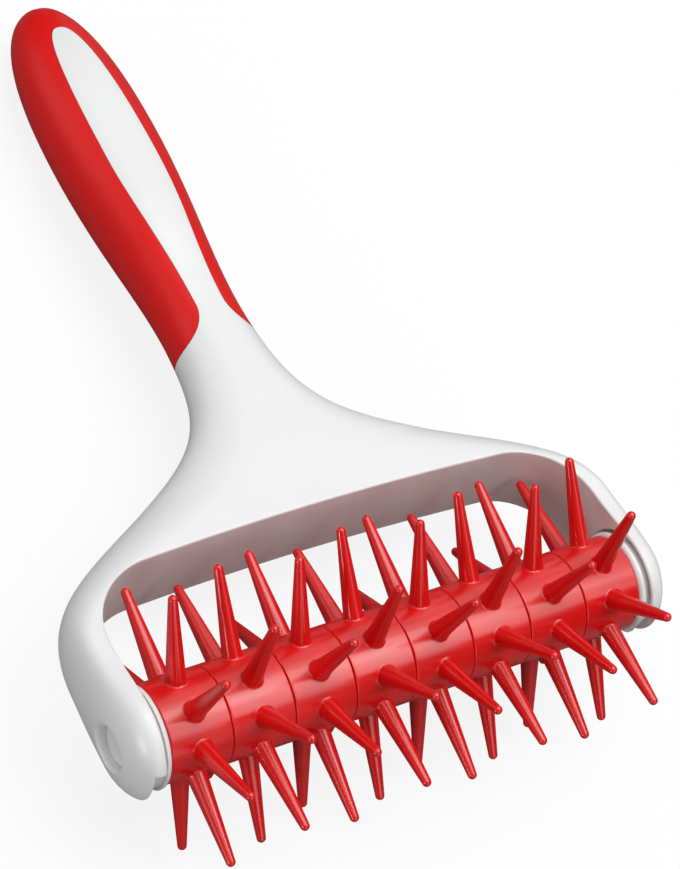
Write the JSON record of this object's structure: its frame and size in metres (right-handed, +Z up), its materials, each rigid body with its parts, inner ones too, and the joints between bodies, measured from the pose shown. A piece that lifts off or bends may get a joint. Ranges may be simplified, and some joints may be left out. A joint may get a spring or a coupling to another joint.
{
  "type": "dough docker",
  "caption": "Hand-held dough docker: a roller of staggered tapered pins spins in a wide one-piece yoke whose handle has a soft two-colour grip.",
  "frame": {"origin": "on the worktop, straight under the middle of the roller's axis, with the tool at rest on its pins and on its handle", "axes": "+X along the roller, +Y towards the handle's end, +Z up from the worktop"},
  "size_m": [0.1272, 0.2041, 0.0573],
  "materials": {
    "white_plastic": "satin moulded",
    "red_grip": "satin soft-touch",
    "red_plastic": "gloss moulded"
  },
  "bodies": {
    "frame": {"handle_frame": "white_plastic", "grip_sleeve": "red_grip"},
    "roller": {"hex_core": "red_plastic", "end_cap_left": "white_plastic", "end_cap_right": "white_plastic", "pin_ring_1": "red_plastic", "pin_ring_2": "red_plastic", "pin_ring_3": "red_plastic", "pin_ring_4": "red_plastic", "pin_ring_5": "red_plastic", "pin_ring_6": "red_plastic", "pin_ring_7": "red_plastic", "pin_ring_8": "red_plastic"}
  },
  "joints": [
    {"name": "roller_spin", "type": "hinge", "parent": "frame", "child": "roller", "pos_m": [0, 0, 0.02866], "axis": [1, 0, 0], "continuous": true}
  ]
}
